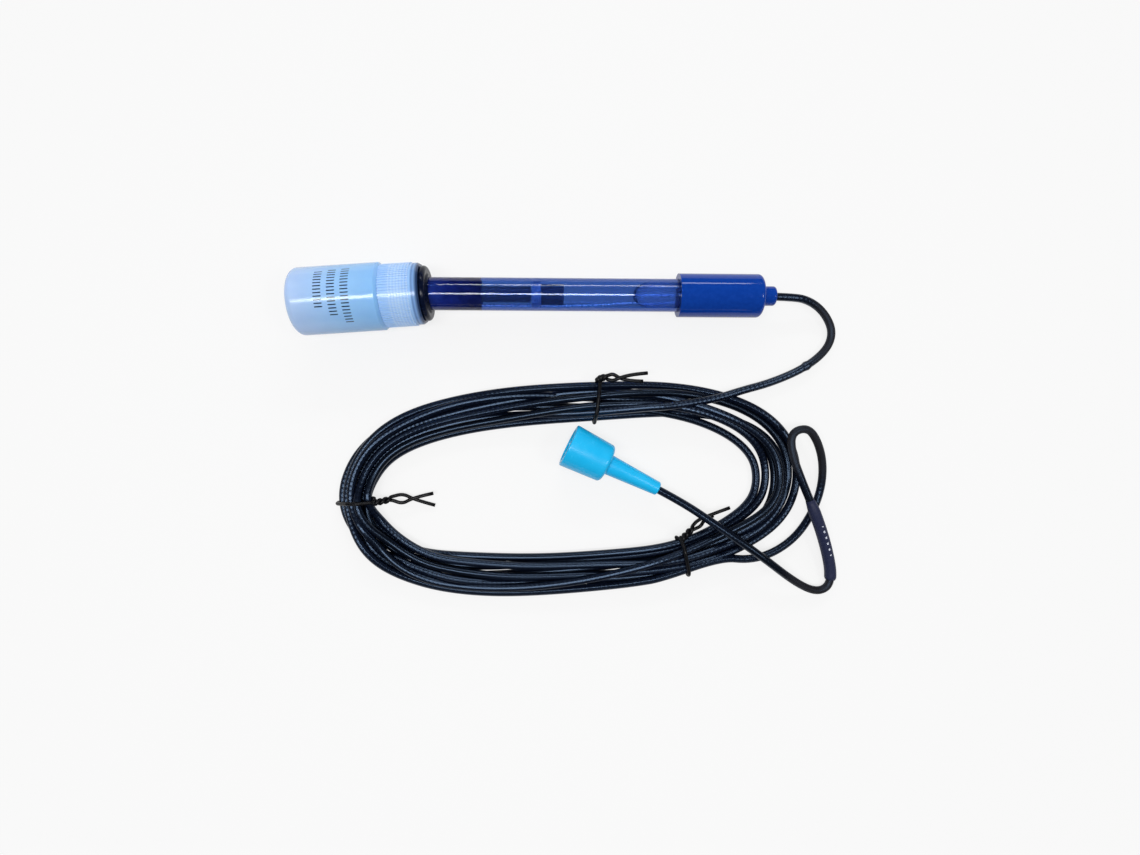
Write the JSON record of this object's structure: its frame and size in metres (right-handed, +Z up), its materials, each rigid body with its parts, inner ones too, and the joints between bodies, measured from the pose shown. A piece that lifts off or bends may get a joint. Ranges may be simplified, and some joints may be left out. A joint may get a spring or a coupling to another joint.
{
  "type": "ph electrode",
  "caption": "pH electrode with a clear blue shaft, its tip in a screw-capped storage bottle, and a long black cable coiled with twist ties to a booted bayonet plug.",
  "frame": {"origin": "on the table, under the middle of the electrode and its bottle", "axes": "+X along the electrode from the bottle to the cap, +Z up"},
  "size_m": [0.2047, 0.1252, 0.0246],
  "materials": {
    "clear_blue": "clear deep blue plastic",
    "stem_glass": "clear glass",
    "porous_white": "porous white plastic",
    "silver_wire": "drawn silver wire",
    "clear_silicone": "clear silicone",
    "dark_rubber": "dark rubber",
    "clear_resin": "clear cast resin",
    "cap_blue": "moulded blue plastic",
    "bottle_white": "translucent white plastic",
    "seal_black": "black rubber",
    "boot_blue": "soft sky-blue plastic",
    "nickel": "nickel plate",
    "plug_white": "white insulating plastic",
    "gold": "gold plate",
    "plug_rubber": "red silicone rubber",
    "cable_black": "glossy black jacket over a braid",
    "shrink_black": "satin black shrink tube",
    "tie_black": "black plastic-coated wire"
  },
  "bodies": {
    "electrode": {"body_tube": "clear_blue", "glass_stem": "stem_glass", "reference_junction": "porous_white", "reference_wire": "silver_wire", "measuring_wire": "silver_wire", "chamber_plug": "clear_silicone", "stem_cap": "dark_rubber", "potting_plug": "clear_resin", "electrode_cap": "cap_blue", "cable_lead": "cable_black", "cable_coil": "cable_black", "cable_tail": "cable_black", "heat_shrink_sleeve": "shrink_black", "twist_tie_left": "tie_black", "twist_tie_top": "tie_black", "twist_tie_bottom": "tie_black", "plug_body": "nickel", "plug_insulator": "plug_white", "centre_pin": "gold", "plug_gasket": "plug_rubber", "spring_washer": "nickel", "crimp_ferrule": "nickel"},
    "seal": {"rubber_seal": "seal_black"},
    "collar": {"bottle_collar": "bottle_white"},
    "bottle": {"storage_bottle": "bottle_white"},
    "coupling": {"connector_boot": "boot_blue", "bayonet_nut": "nickel"}
  },
  "joints": [
    {"name": "seal_slide", "type": "slide", "parent": "electrode", "child": "seal", "axis": [-0.9994, 0, 0.0349], "range_m": [-0.016, 0.05]},
    {"name": "collar_turn", "type": "hinge", "parent": "seal", "child": "collar", "pos_m": [-0.04144, 0.00185, 0.0123], "axis": [0.9978, 0.0663, 0], "range_deg": [0, 720]},
    {"name": "bottle_unscrew", "type": "slide", "parent": "seal", "child": "bottle", "axis": [-0.9978, -0.0663, 0], "range_m": [0, 0.006]},
    {"name": "coupling_turn", "type": "hinge", "parent": "electrode", "child": "coupling", "pos_m": [0.0116, -0.0538, 0.00828], "axis": [-0.8956, 0.4407, 0.0609], "continuous": true}
  ],
  "couplings": [
    {"joint": "collar_turn", "follows": "bottle_unscrew", "rad_per_m": 2094.4}
  ]
}
